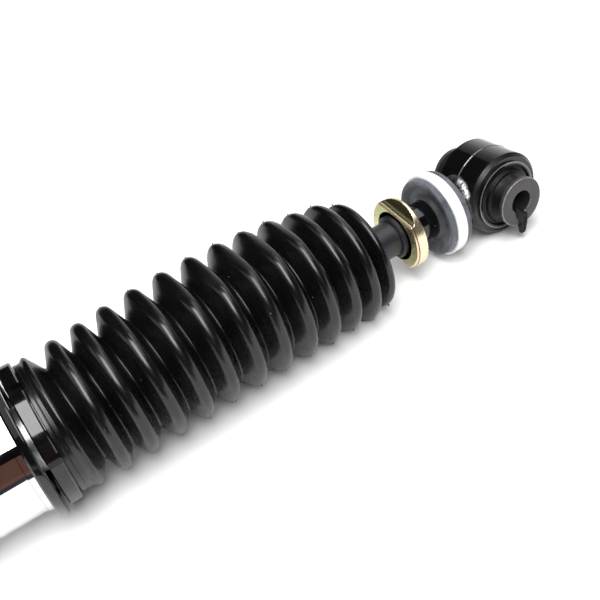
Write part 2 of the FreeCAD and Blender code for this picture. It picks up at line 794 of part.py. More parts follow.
bead_start = s.eye_to_eye - s.eye_radius - s.weld_radius
bead_blank = turned("weld_bead_blank", bead_start, [
    (0, s.upper_neck_radius),
    (3 * s.weld_radius, s.upper_neck_radius),
    (3 * s.weld_radius, s.upper_neck_radius + 2 * s.weld_radius),
    (2 * s.weld_radius, s.upper_neck_radius + 2 * s.weld_radius),
    (0, s.upper_neck_radius + s.weld_radius / 2),
])
eye_solid = turned(
    "weld_bead_cutter", s.eye_to_eye,
    [(0, 0), (2 * s.eye_width, 0), (2 * s.eye_width, s.eye_radius + s.eye_rib_height),
     (0, s.eye_radius + s.eye_rib_height)],
    across=-s.eye_width, turn=ACROSS,
)
keep("weld_bead", cut("weld_bead_cut", bead_blank, eye_solid))

# ---------------------------------------------------------------- check and write
doc.recompute()
for item in doc.Objects:
    if "Invalid" in item.State or "Error" in item.State:
        raise RuntimeError(f"{item.Label} failed: {item.State}")
os.makedirs("parts", exist_ok=True)
for name, thing in pieces.items():
    if thing.Shape.isNull() or not thing.Shape.isValid():
        raise RuntimeError(f"{name} has no valid shape")
    print(f"{name}: {len(thing.Shape.Solids)} solid, {thing.Shape.Volume:.0f} mm3")
    thing.Shape.exportStep(f"parts/{name}.step")
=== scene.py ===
"""Looks for the rear shock absorber: its rubber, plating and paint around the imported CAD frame."""

import json
import math
import random

import bmesh
import bpy
from mathutils import Matrix, Vector


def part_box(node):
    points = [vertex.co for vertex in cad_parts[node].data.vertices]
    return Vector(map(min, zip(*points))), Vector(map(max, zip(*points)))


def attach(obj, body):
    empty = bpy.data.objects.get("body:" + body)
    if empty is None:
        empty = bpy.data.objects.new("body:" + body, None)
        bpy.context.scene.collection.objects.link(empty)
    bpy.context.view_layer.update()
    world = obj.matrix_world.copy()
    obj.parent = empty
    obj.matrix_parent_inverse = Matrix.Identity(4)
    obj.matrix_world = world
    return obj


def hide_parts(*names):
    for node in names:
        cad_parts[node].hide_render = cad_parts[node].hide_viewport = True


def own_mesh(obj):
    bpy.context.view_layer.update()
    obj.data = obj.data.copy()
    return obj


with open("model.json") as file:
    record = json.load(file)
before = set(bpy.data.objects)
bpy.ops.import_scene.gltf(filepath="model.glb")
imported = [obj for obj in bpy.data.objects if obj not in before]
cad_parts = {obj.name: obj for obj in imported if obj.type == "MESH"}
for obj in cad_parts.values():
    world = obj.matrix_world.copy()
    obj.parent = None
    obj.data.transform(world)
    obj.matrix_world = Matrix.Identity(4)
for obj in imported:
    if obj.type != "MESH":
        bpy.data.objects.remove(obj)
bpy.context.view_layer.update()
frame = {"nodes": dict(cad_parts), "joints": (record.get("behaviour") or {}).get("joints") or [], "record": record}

MM = 0.001
FULL_TURN = 2 * math.pi

# sizes that several pieces share, as the frame has them
EYE_RADIUS = 21.3 * MM
EYE_PARTING_LINE = 21.6 * MM
SLEEVE_BORE_MM, SLEEVE_RADIUS_MM, SLEEVE_END_MM = 6.0, 9.0, 25.7
FLANGE_RADIUS_MM, FLANGE_BACK_MM = 12.6, 23.4
SLEEVE_SEAM = 3 * MM


# ---------------------------------------------------------------- shader maths

class Signal:
    """One output socket of a finish, with Python's operators as Math nodes."""

    def __init__(self, finish, socket):
        self.finish = finish
        self.socket = socket

    def math(self, operation, *others, clamp=False):
        values = {index: value for index, value in enumerate((self, *others))}
        return self.finish.node("ShaderNodeMath", {"operation": operation, "use_clamp": clamp}, values)

    def reflected(self, operation, first):
        return self.finish.node("ShaderNodeMath", {"operation": operation}, {0: first, 1: self})

    def __add__(self, other):
        return self.math("ADD", other)

    __radd__ = __add__

    def __sub__(self, other):
        return self.math("SUBTRACT", other)

    def __rsub__(self, other):
        return self.reflected("SUBTRACT", other)

    def __mul__(self, other):
        return self.math("MULTIPLY", other)

    __rmul__ = __mul__

    def __truediv__(self, other):
        return self.math("DIVIDE", other)

    def __pow__(self, other):
        return self.math("POWER", other)

    def __abs__(self):
        return self.math("ABSOLUTE")

    def kept_between_0_and_1(self):
        return self.math("ADD", 0.0, clamp=True)

    def from_to(self, low, high):
        """0 below low, 1 above high, and a smooth step between."""
        return self.finish.node(
            "ShaderNodeMapRange", {"interpolation_type": "SMOOTHSTEP"},
            {"Value": self, "From Min": low, "From Max": high},
        )

    def near(self, middle, width):
        """1 at middle, falling to 0 a width away."""
        return 1 - abs((self - middle) / width).kept_between_0_and_1()


class Finish:
    """A material on its way to being mixed: one Principled shader and what feeds it."""

    def __init__(self, name, **constants):
        self.material = bpy.data.materials.new(name)
        self.material.use_nodes = True
        self.nodes = self.material.node_tree.nodes
        self.links = self.material.node_tree.links
        self.shader = self.nodes["Principled BSDF"]
        for socket, value in constants.items():
            self.shader.inputs[socket.replace("_", " ")].default_value = value
        self.place = self.node("ShaderNodeTexCoord", out="Object")

    def feed(self, socket, value):
        if isinstance(value, Signal):
            self.links.new(value.socket, socket)
        elif hasattr(value, "__len__") and socket.type == "RGBA":
            socket.default_value = (*value, 1)
        else:
            socket.default_value = value

    def node(self, kind, settings=None, values=None, out=0):
        """A node of that kind: its settings first, then what its sockets hold or are linked to."""
        made = self.nodes.new(kind)
        for name, value in (settings or {}).items():
            if name == "stops":
                ramp = made.color_ramp
                while len(ramp.elements) < len(value):
                    ramp.elements.new(0.5)
                for element, (position, colour) in zip(ramp.elements, value):
                    element.position = position
                    element.color = (*colour, 1)
            else:
                setattr(made, name, value)
        for socket, value in (values or {}).items():
            self.feed(made.inputs[socket], value)
        return Signal(self, made.outputs[out])

    def set(self, **sockets):
        for socket, value in sockets.items():
            self.feed(self.shader.inputs[socket.replace("_", " ")], value)
        return self

    def mix(self, mask, first, second):
        """First colour where the mask is 0, second where it is 1."""
        return self.node(
            "ShaderNodeMix", {"data_type": "RGBA"}, {0: mask, 6: first, 7: second}, out=2,
        )

    def parts(self, vector=None):
        """The x, y and z of a vector, or of the place on the object."""
        split = self.node("ShaderNodeSeparateXYZ", None, {0: vector or self.place})
        outputs = split.socket.node.outputs
        return [Signal(self, outputs[index]) for index in range(3)]

    def vector(self, x, y, z):
        return self.node("ShaderNodeCombineXYZ", None, {0: x, 1: y, 2: z})

    def noise(self, size_mm, detail=2.0, rough=0.5, place=None, twist=0.0):
        """Cloudy variation from 0 to 1 with patches of about that size."""
        return self.node(
            "ShaderNodeTexNoise", None,
            {
                "Vector": place or self.place, "Scale": 1 / (size_mm * MM), "Detail": detail,
                "Roughness": rough, "Distortion": twist,
            },
        )

    def cells(self, size_mm):
        """Distance from the middle of the nearest of many scattered cells."""
        return self.node(
            "ShaderNodeTexVoronoi", None, {"Vector": self.place, "Scale": 1 / (size_mm * MM)},
        )

    def about_shock(self):
        """Station, angle and radius about the shock's own axis."""
        x, y, z = self.parts()
        return x, z.math("ARCTAN2", y), (y * y + z * z) ** 0.5

    def about_eye(self, centre):
        """Station, angle and radius about an eye's bore."""
        x, y, z = self.parts()
        x = x - centre
        return y, z.math("ARCTAN2", x), (x * x + z * z) ** 0.5

    def bump(self, height, depth_mm, strength=1.0):
        return self.set(Normal=self.node(
            "ShaderNodeBump", None, {"Height": height, "Distance": depth_mm * MM, "Strength": strength},
        ))


def dust(finish, spacing_mm, size):
    """Sparse pale specks, as settle on shiny black parts."""
    return 1 - finish.cells(spacing_mm).from_to(size * 0.4, size)


# ---------------------------------------------------------------- finishes

def chrome_plate():
    """Mirror chrome with faint lines and smears, and a thin line of painted shade in the step behind the can's
    lip.
    """
    f = Finish("chrome_plate", Metallic=1.0)
    station, angle, _ = f.about_shock()
    along = f.vector(station * 40, angle * 0.02, 0.0)
    lines = f.noise(30, 4, 0.6, place=along)
    smears = f.noise(14, 3, 0.6, twist=0.6)
    # painted shade: a thin dark line in the step behind the can's lip, where the step lies in shade
    step = station.near(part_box("canister")[1].x - 2.45 * MM, 0.28 * MM)
    plate = f.mix(smears, (0.90, 0.90, 0.91), (0.80, 0.81, 0.83))
    f.set(
        Base_Color=f.mix(step * 0.85, plate, (0.05, 0.05, 0.055)),
        Roughness=0.025 + smears.from_to(0.5, 0.8) * 0.06 + lines * 0.02,
    )
    return f.bump(lines * 0.3 + f.noise(6) * 0.7, 0.02, 0.25)


def gloss_black_paint(name="gloss_black_paint"):
    """Gloss black with smears and a few specks of dust."""
    f = Finish(name, Coat_Roughness=0.04, Specular_IOR_Level=0.5)
    smears = f.noise(7, 3, 0.6, twist=0.4)
    f.set(
        Base_Color=f.mix(dust(f, 9, 0.035), (0.0028, 0.0028, 0.0032), (0.20, 0.19, 0.18)),
        Roughness=0.09 + smears.from_to(0.45, 0.85) * 0.12,
        Coat_Weight=0.25 - smears * 0.2,
    )
    return f.bump(f.noise(1.6, 2) * 0.7 + f.noise(5) * 0.3, 0.03, 0.35)


def eye_paint(name, centre):
    """Gloss black, rubbed thin along the parting line and the rims of an eye."""
    f = gloss_black_paint(name)
    across, _, radius = f.about_eye(centre)
    ridge = across.near(0.0, 0.42 * MM) * radius.near(21.4 * MM, 0.25 * MM).from_to(0.0, 0.3) * 0.55
    rim = abs(across).near(15.4 * MM, 0.35 * MM) * radius.near(17.25 * MM, 0.45 * MM)
    worn = (ridge + rim).kept_between_0_and_1() * (0.55 + f.noise(2.5, 3, 0.7) * 0.45)
    coat = Signal(f, f.shader.inputs["Base Color"].links[0].from_socket)
    shoulder = abs(across).near(13.4 * MM, 2.6 * MM)
    f.set(
        Base_Color=f.mix(worn, coat, (0.42, 0.39, 0.36)),
        Metallic=worn * 0.8,
        Roughness=0.10 + shoulder * 0.30 + f.noise(7, 3).from_to(0.45, 0.85) * 0.10,
        Coat_Weight=(1 - shoulder) * 0.2,
    )
    return f


def black_oxide(name="black_oxide", wear=None, shade=(0.010, 0.010, 0.012), bore_centre=None):
    """Satin black steel. wear is a function of the finish that gives where it is rubbed bright. With bore_centre,
    the bore's own surface gets painted shade: near black, matte and not metallic.
    """
    f = Finish(name, Specular_IOR_Level=0.55)
    cloud = f.noise(3.5, 4, 0.65)
    grain = f.noise(0.35, 2)
    if wear:
        worn = wear(f) * f.noise(1.2, 4, 0.75).from_to(0.25, 0.6)
    else:
        worn = f.noise(6).from_to(0.68, 0.8) * 0.25
    base = f.mix(cloud, shade, tuple(2.2 * c for c in shade))
    bore_painted_shade = 0.0
    # painted shade: the bore's surface is painted near black, as shade inside the tube
    if bore_centre is not None:
        depth = f.about_eye(bore_centre)[2]
        bore_painted_shade = 1 - depth.from_to((SLEEVE_BORE_MM + 0.05) * MM, (SLEEVE_BORE_MM + 0.35) * MM)
        base = f.mix(bore_painted_shade, base, (0.0008, 0.0008, 0.0008))
    f.set(
        Base_Color=f.mix(worn, base, (0.55, 0.51, 0.47)),
        Metallic=(0.2 + worn * 0.7) * (1 - bore_painted_shade),
        Roughness=0.34 + cloud * 0.12 - worn * 0.1 + bore_painted_shade * 0.5,
    )
    return f.bump(grain * 0.6 + cloud * 0.4, 0.03, 0.4)


def worn_rim(centre):
    """Where a sleeve's flange is rubbed bright: the corner between its rim and its face."""
    def wear(f):
        across, _, radius = f.about_eye(centre)
        at_rim = radius.near(FLANGE_RADIUS_MM * MM, 0.55 * MM)
        at_face = abs(across).near(SLEEVE_END_MM * MM, 0.5 * MM)
        bore = radius.near(SLEEVE_BORE_MM * MM, 0.35 * MM) * 0.6 * at_face
        return (at_rim * at_face + bore).kept_between_0_and_1()
    return wear


def yellow_zinc():
    """Chromated zinc: straw yellow and green on the face, gold and rose round the rim and bevels, and a painted
    dark reflection on the flats.
    """
    f = Finish("yellow_zinc", Metallic=0.95)
    station, angle, radius = f.about_shock()
    drift = f.noise(9, 3, 0.55, twist=0.8)
    streak = f.noise(5, 3, 0.6, place=f.vector(station * 6, angle * 0.02, radius))
    rim_tint = f.node("ShaderNodeValToRGB", {"stops": [
        (0.28, (0.84, 0.74, 0.46)), (0.45, (0.93, 0.82, 0.56)), (0.55, (0.92, 0.68, 0.52)),
        (0.66, (0.84, 0.80, 0.44)), (0.78, (0.90, 0.85, 0.62)),
    ]}, {0: streak})
    face_tint = f.node("ShaderNodeValToRGB", {"stops": [
        (0.28, (0.58, 0.60, 0.24)), (0.46, (0.76, 0.75, 0.40)), (0.58, (0.68, 0.72, 0.34)),
        (0.72, (0.84, 0.68, 0.42)), (0.85, (0.54, 0.60, 0.26)),
    ]}, {0: drift})
    facing = abs(f.parts(f.node("ShaderNodeTexCoord", out="Normal"))[0])
    bevel = facing.near(0.72, 0.25).from_to(0.1, 0.5)
    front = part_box("jam_nut")[0].x
    behind_bevel = station.from_to(front + 0.85 * MM, front + 1.1 * MM)
    # painted reflection: the milled flats are painted dark olive, standing in for the dark room they reflect
    flat = (1 - radius.from_to(18.1 * MM, 18.27 * MM)) * behind_bevel
    tint = f.mix(facing.from_to(0.75, 0.95), rim_tint, face_tint)
    tint = f.mix(bevel * 0.7, tint, (0.93, 0.66, 0.50))
    f.set(
        Base_Color=f.mix(flat * 0.85, tint, (0.10, 0.12, 0.035)),
        Roughness=0.20 + f.noise(2.5, 3) * 0.12,
    )
    return f.bump(f.noise(0.5, 3) * 0.4 + streak * 0.6, 0.03, 0.3)


def moulded_rubber(name, shade, roughness, specular=0.5):
    """Black moulded rubber, with a slightly cloudy skin and fine pores."""
    f = Finish(name, Specular_IOR_Level=specular)
    cloud = f.noise(8, 4, 0.6, twist=0.5)
    pores = f.noise(0.6, 3, 0.6)
    base = f.mix(cloud, tuple(0.75 * c for c in shade), tuple(1.35 * c for c in shade))
    f.set(Base_Color=base, Roughness=roughness + cloud.from_to(0.4, 0.8) * roughness * 0.7)
    return f.bump(pores * 0.4 + cloud * 0.6, 0.03, 0.35)


def boot_rubber():
    """Glossy bellows rubber: wiped crests, duller valleys, a few specks."""
    f = Finish("boot_rubber", Specular_IOR_Level=0.5, Coat_Roughness=0.12)
    station, angle, radius = f.about_shock()
    smears = f.noise(10, 4, 0.6, place=f.vector(station * 2.0, angle * 0.012, radius), twist=0.6)
    ripples = f.noise(3.2, 2, 0.5)
    f.set(
        Base_Color=f.mix(dust(f, 8, 0.03), (0.0022, 0.0022, 0.0026), (0.42, 0.40, 0.38)),
        Roughness=0.25 + smears.from_to(0.42, 0.8) * 0.12,
        Coat_Weight=0.10 - smears * 0.1,
    )
    return f.bump(ripples * 0.5 + smears * 0.5, 0.06, 0.4)


def cushion_rubber():
    """Slate-grey rubber with a soft bloom and darker handled patches, and painted shade darkening the dish towards
    the neck.
    """
    f = Finish("cushion_rubber", Specular_IOR_Level=0.45, Sheen_Weight=0.12, Sheen_Roughness=0.4)
    bloom = f.noise(11, 4, 0.6, twist=0.8)
    speckle = f.noise(1.1, 4, 0.65)
    base = f.mix(bloom.from_to(0.3, 0.7), (0.032, 0.034, 0.042), (0.105, 0.112, 0.138))
    base = f.mix(speckle.from_to(0.45, 0.8) * 0.35, base, (0.13, 0.135, 0.15))
    # painted shade: the dish darkens towards the neck, as shade falls in its recess
    recess_painted_shade = 1 - f.about_shock()[2].from_to(10.5 * MM, 15.5 * MM)
    base = f.mix(recess_painted_shade * 0.65, base, (0.012, 0.012, 0.015))
    f.set(Base_Color=base, Roughness=0.40 + speckle * 0.14 - bloom * 0.08)
    return f.bump(speckle * 0.7 + bloom * 0.3, 0.06, 0.4)


def turned_aluminium(name, shade, lathe_lines, roughness, metal=0.92):
    """Aluminium turned on a lathe: fine lines round the axis."""
    f = Finish(name, Metallic=metal)
    station, angle, radius = f.about_shock()
    lines = f.noise(lathe_lines, 5, 0.7, place=f.vector(station + radius, angle * 0.0015, 0.0))
    patch = f.noise(6, 3, 0.6)
    dark = tuple(c * 0.6 for c in shade)
    f.set(
        Base_Color=f.mix(lines.from_to(0.52, 0.75) * 0.75, shade, dark),
        Roughness=roughness + patch * 0.12 + lines * 0.08,
    )
    return f.bump(lines, 0.05, 0.5)


def bare_weld():
    """Weld metal: bare and bright only on its upper camera side, where the soft box's highlight falls, as a
    painted highlight; black paint elsewhere.
    """
    f = Finish("bare_weld")
    # painted highlight: the bare, bright metal is kept to the angles that face the overhead soft box and the
    # camera
    soft_box_highlight_side = f.about_shock()[1].near(math.radians(126), math.radians(34)).from_to(0.15, 0.6)
    bright = soft_box_highlight_side * f.noise(1.5, 4, 0.75).from_to(0.38, 0.60)
    f.set(
        Base_Color=f.mix(bright, (0.016, 0.016, 0.017), (0.78, 0.78, 0.80)),
        Metallic=bright * 0.9,
        Roughness=0.24 + f.noise(0.9, 3) * 0.2,
    )
    return f.bump(f.noise(0.9, 4, 0.7), 0.25, 0.6)


def ground_metal(name, shade, roughness):
    """Plain ground or drawn metal with a fine grain."""
    f = Finish(name, Metallic=1.0)
    grain = f.noise(0.8, 4, 0.65)
    cloud = f.noise(9, 3)
    f.set(
        Base_Color=f.mix(cloud, shade, tuple(c * 0.8 for c in shade)),
        Roughness=roughness + grain * 0.08 + cloud * 0.05,
    )
    return f.bump(grain, 0.02, 0.3)


def spring_coat():
    """Dark powder coat with a fine orange peel."""
    f = Finish("spring_coat", Specular_IOR_Level=0.5)
    peel = f.noise(1.2, 3, 0.6)
    f.set(
        Base_Color=f.mix(f.noise(7), (0.03, 0.03, 0.033), (0.055, 0.055, 0.06)),
        Roughness=0.34 + peel * 0.12,
    )
    return f.bump(peel, 0.05, 0.5)


def dull_plastic(name, shade, pore_mm):
    """Plastic or foam with open pores of that size."""
    f = Finish(name)
    cells = f.noise(pore_mm, 4, 0.7)
    f.set(
        Base_Color=f.mix(cells, shade, tuple(c * 0.7 for c in shade)),
        Roughness=0.55 + cells * 0.2,
    )
    return f.bump(cells, 0.1, 0.6)


eye_centres = {
    prefix: mount["pos_m"][0]
    for prefix, mount in zip(("lower", "upper"), frame["record"]["mounts"])
}

finishes = {
    "chrome": chrome_plate(),
    "gloss_black": gloss_black_paint(),
    "black_steel": black_oxide(),
    "yellow_zinc": yellow_zinc(),
    "boot_rubber": boot_rubber(),
    "bush_rubber": moulded_rubber("bush_rubber", (0.003, 0.003, 0.0032), 0.34, specular=0.22),
    "cushion_rubber": cushion_rubber(),
    "band_aluminium": turned_aluminium("band_aluminium", (0.82, 0.82, 0.82), 0.5, 0.46, metal=0.35),
    "weld_metal": bare_weld(),
    "ground_steel": ground_metal("ground_steel", (0.55, 0.55, 0.57), 0.22),
    "hard_chrome": ground_metal("hard_chrome", (0.80, 0.81, 0.83), 0.06),
    "spring_steel": spring_coat(),
    "machined_aluminium": turned_aluminium("machined_aluminium", (0.74, 0.74, 0.76), 0.4, 0.26),
    "seal_rubber": moulded_rubber("seal_rubber", (0.018, 0.018, 0.019), 0.38),
    "guide_bronze": ground_metal("guide_bronze", (0.62, 0.43, 0.20), 0.24),
    "piston_ptfe": dull_plastic("piston_ptfe", (0.16, 0.14, 0.12), 0.7),
    "stop_foam": dull_plastic("stop_foam", (0.74, 0.63, 0.34), 0.9),
}
for prefix, centre in eye_centres.items():
    finishes[f"{prefix}_eye"] = eye_paint(f"{prefix}_eye_paint", centre)
    finishes[f"{prefix}_sleeve"] = black_oxide(
        f"{prefix}_sleeve_oxide", worn_rim(centre), (0.024, 0.022, 0.023), centre,
    )

own_finish = {
    f"{prefix}_{part}": f"{prefix}_{finish}"
    for prefix in eye_centres
    for part, finish in (
        ("eye", "eye"), ("bush_shell", "eye"), ("sleeve", "sleeve"), ("far_flange", "sleeve"),
    )
}
for part in frame["record"]["subparts"]:
    node = frame["nodes"][part["node"]]
    finish = finishes[own_finish.get(part["node"], part["material_slot"])]
    node.data.materials.clear()
    node.data.materials.append(finish.material)


# ---------------------------------------------------------------- mesh making

def rounded(corners, steps=6):
    """A closed line with each corner (along, out, radius) turned into an arc."""
    line = []
    count = len(corners)
    for index, (along, out, radius) in enumerate(corners):
        corner = Vector((along, out))
        before = Vector(corners[index - 1][:2]) - corner
        after = Vector(corners[(index + 1) % count][:2]) - corner
        if radius <= 0:
            line.append(corner)
            continue
        half = before.angle(after) / 2
        reach = min(radius / math.tan(half), before.length * 0.49, after.length * 0.49)
        radius = reach * math.tan(half)
        middle = (before.normalized() + after.normalized()).normalized()
        centre = corner + middle * (radius / math.sin(half))
        start = corner + before.normalized() * reach - centre
        end = corner + after.normalized() * reach - centre
        sweep = start.angle_signed(end)
        for step in range(steps + 1):
            turned = start.copy()
            turned.rotate(Matrix.Rotation(-sweep * step / steps, 2))
            line.append(centre + turned)
    return line


def piece_from(name, mesh_maker, slot, body, finish=None, crease=40):
    """A finished piece: a clean mesh, smooth up to the crease angle, painted and on its body."""
    made = bmesh.new()
    mesh_maker(made)
    bmesh.ops.remove_doubles(made, verts=made.verts, dist=1e-7)
    bmesh.ops.recalc_face_normals(made, faces=made.faces)
    mesh = bpy.data.meshes.new(name)
    made.to_mesh(mesh)
    made.free()
    mesh.shade_smooth()
    mesh.set_sharp_from_angle(angle=math.radians(crease))
    piece = bpy.data.objects.new(name, mesh)
    bpy.context.scene.collection.objects.link(piece)
    mesh.materials.append((finish or finishes[slot]).material)
    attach(piece, body)
    return piece


def turned_shape(line, turns, point):
    """Mesh maker: a closed line of (along, out) swept round by point(along, out, turn share)."""
    def make(made):
        rows = [
            [made.verts.new(point(along, out, step / turns)) for along, out in line]
            for step in range(turns)
        ]
        for step in range(turns):
            here, there = rows[step], rows[(step + 1) % turns]
            for index in range(len(line)):
                following = (index + 1) % len(line)
                made.faces.new((here[index], here[following], there[following], there[index]))
    return make


def about_x(along, out, share):
    """A point about the shock's own axis."""
    angle = share * FULL_TURN
    return Vector((along, out * math.cos(angle), out * math.sin(angle)))


def folds_with_rod(piece, low_x, high_x):
    """Works out the share of the piece's length, from its end at low_x, that stays as the rod goes in, but applies
    nothing: the piece only gets its own copy of its mesh.
    """
    slide = next(joint for joint in frame["joints"] if joint["name"] == "rod_slide")
    travel = -slide["range_m"][0]
    1 - travel / (high_x - low_x)
    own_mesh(piece)


def waves(rng, count, size):
    """A smooth random function of an angle, the same at 0 and at a full turn."""
    terms = [(order + 1, rng.uniform(-1, 1), rng.uniform(0, FULL_TURN)) for order in range(count)]

    def value(angle):
        return size * sum(
            gain * math.sin(order * angle + phase) / order for order, gain, phase in terms
        )
    return value


# ---------------------------------------------------------------- boot

FOLDS = 13
CREST_ROUND = 3.2 * MM
VALLEY_ROUND = 0.5 * MM
FOLD_DEPTH = 9.0 * MM
WALL = 1.3 * MM
CUFF_OUTSIDE, CUFF_INSIDE = 30.0 * MM, 28.7 * MM
END_HOLE = 9.0 * MM
PARTING_LINES = (math.radians(229), math.radians(54))

boot_low, boot_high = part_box("boot")
FULLEST = boot_high.z
first_crest = boot_low.x + 5.6 * MM
last_crest = boot_high.x - 3.9 * MM
pitches = [1 + 0.25 * math.sin(math.pi * (index + 0.5) / (FOLDS - 1)) for index in range(FOLDS - 1)]
crests = [first_crest]
for pitch in pitches:
    crests.append(crests[-1] + pitch * (last_crest - first_crest) / sum(pitches))
crest_radii = [FULLEST - (0.25 + 2.25 * ((index - 6) / 6) ** 2) * MM for index in range(FOLDS)]
crest_radii[-3] -= 1.0 * MM
crest_radii[-2] -= 0.8 * MM
crest_radii[-1] = FULLEST - 5.8 * MM


def corner_overshoot(radius, half_pitch, depth):
    """How far a fold's sharp corner stands beyond its rounded crest."""
    overshoot = radius
    for _ in range(5):
        half = math.atan(half_pitch / (depth + overshoot))
        overshoot = radius * (1 / math.sin(half) - 1)
    return overshoot


def boot_line():
    """Outline of the boot's wall: cuff, folds, closed end, and back inside."""
    cuff = boot_low.x
    outer = [
        (cuff, CUFF_OUTSIDE, 0.35 * MM), (cuff + 1.5 * MM, CUFF_OUTSIDE, 0.2 * MM),
        (cuff + 1.75 * MM, 29.6 * MM, 0.15 * MM), (cuff + 2.0 * MM, 30.05 * MM, 0.25 * MM),
        (cuff + 3.1 * MM, 29.9 * MM, 0.5 * MM),
    ]
    inner = [(cuff, CUFF_INSIDE, 0.2 * MM), (cuff + 3.6 * MM, 28.5 * MM, 0.4 * MM)]
    skew = 1.6 * WALL
    for index, (station, radius) in enumerate(zip(crests, crest_radii)):
        half_pitch = (crests[max(index, 1)] - crests[max(index, 1) - 1]) / 2
        if index:
            valley = (crests[index - 1] + station) / 2
            depth = min(crest_radii[index - 1], radius) - FOLD_DEPTH
            outer.append((valley, depth, VALLEY_ROUND))
            inner.append((valley, depth - skew, VALLEY_ROUND * 2.4))
        over = corner_overshoot(CREST_ROUND, half_pitch, FOLD_DEPTH) if index else 1.0 * MM
        outer.append((station, radius + over, CREST_ROUND))
        inner.append((station, radius - 0.3 * MM, CREST_ROUND * 0.5))
    end = boot_high.x
    outer += [
        (end - 0.4 * MM, 12.8 * MM, 0.8 * MM), (end, 11.6 * MM, 0.5 * MM),
        (end, END_HOLE, 0.3 * MM),
    ]
    inner.append((end - 1.6 * MM, END_HOLE, 0.3 * MM))
    return rounded(outer + inner[::-1], steps=6)


UPPER_SIDE = math.radians(58)


def lean_along(position, angle):
    """How far a fold leans: the boot was pulled on crooked and its lower side rides forward."""
    shift = 1.3 * MM * (1 - position) + 2.3 * MM * math.sin(math.pi * position)
    tilt = 1.7 * MM * (1 - position) + 1.1 * MM * math.exp(-((position - 0.27) / 0.14) ** 2)
    return shift - tilt * math.cos(angle - UPPER_SIDE)


def rise(position):
    """How far the table the shock lies on pushes the soft folds up."""
    return 5.0 * MM * math.sin(math.pi * position ** 1.15)


def kept_low(height):
    """Folds that the push would carry past the rings' height flatten instead."""
    free, room = 29.0 * MM, 5.5 * MM
    return height if height < free else free + room * math.tanh((height - free) / room)


def boot_place(rng):
    """Puts a point of the boot's outline into space, with the small unevenness of a soft moulding."""
    sway = [waves(rng, 4, 0.20 * MM) for _ in range(FOLDS)]
    swell = [waves(rng, 3, 0.10 * MM) for _ in range(FOLDS)]
    cuff_reach = first_crest - boot_low.x
    end_reach = boot_high.x - last_crest

    def point(along, out, share):
        angle = share * FULL_TURN
        position = (along - first_crest) / (last_crest - first_crest)
        ease = min(1.0, (along - boot_low.x) / cuff_reach, (boot_high.x - along) / end_reach)
        ease = ease * ease * (3 - 2 * ease)
        position = min(1.0, max(0.0, position))
        fold = min(range(FOLDS), key=lambda index: abs(crests[index] - along))
        lift = min(1.0, max(0.0, out - 21 * MM) / (9 * MM)) * ease
        along += ease * lean_along(position, angle) + lift * sway[fold](angle)
        out += lift * (swell[fold](angle) - 0.10 * MM)
        for seam in PARTING_LINES:
            apart = abs(math.remainder(angle - seam, FULL_TURN)) * out
            out += 0.14 * MM * max(0.0, 1 - apart / (0.5 * MM)) * lift
        height = kept_low(out * math.sin(angle) + rise(position) * lift)
        return Vector((along, out * math.cos(angle), height))
    return point


def nub_on(made, middle, outward, sideways, size):
    """A tiny trimmed sprue: a short tapered stub standing on the surface."""
    along = outward.cross(sideways).normalized()
    sides = 10
    rings = []
    for height, width in ((-0.5, 1.0), (0.45, 0.95), (0.8, 0.7)):
        ring = []
        for turn in range(sides):
            angle = turn * FULL_TURN / sides
            spoke = sideways * math.cos(angle) * 0.7 + along * math.sin(angle)
            spot = middle + outward * (height * size) + spoke * (width * size * 0.6)
            ring.append(made.verts.new(spot))
        rings.append(ring)
    for low, high in zip(rings, rings[1:]):
        for turn in range(sides):
            after = (turn + 1) % sides
            made.faces.new((low[turn], low[after], high[after], high[turn]))
    made.faces.new(rings[0][::-1])
    made.faces.new(rings[-1])


def make_boot():
    rng = random.Random(7)
    place = boot_place(rng)
    turn_boot = turned_shape(boot_line(), 288, place)

    def make(made):
        turn_boot(made)
        for index in range(FOLDS):
            for seam in PARTING_LINES:
                angle = seam + rng.uniform(-0.03, 0.03)
                outward = Vector((0, math.cos(angle), math.sin(angle)))
                middle = place(crests[index], crest_radii[index] - 0.2 * MM, angle / FULL_TURN)
                nub_on(made, middle, outward, Vector((1, 0, 0)), rng.uniform(0.45, 0.8) * MM)
    boot = piece_from("folded_boot", make, "boot_rubber", "damper", crease=60)
    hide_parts("boot")
    folds_with_rod(boot, boot_low.x, boot_high.x)


make_boot()


# ---------------------------------------------------------------- coil spring

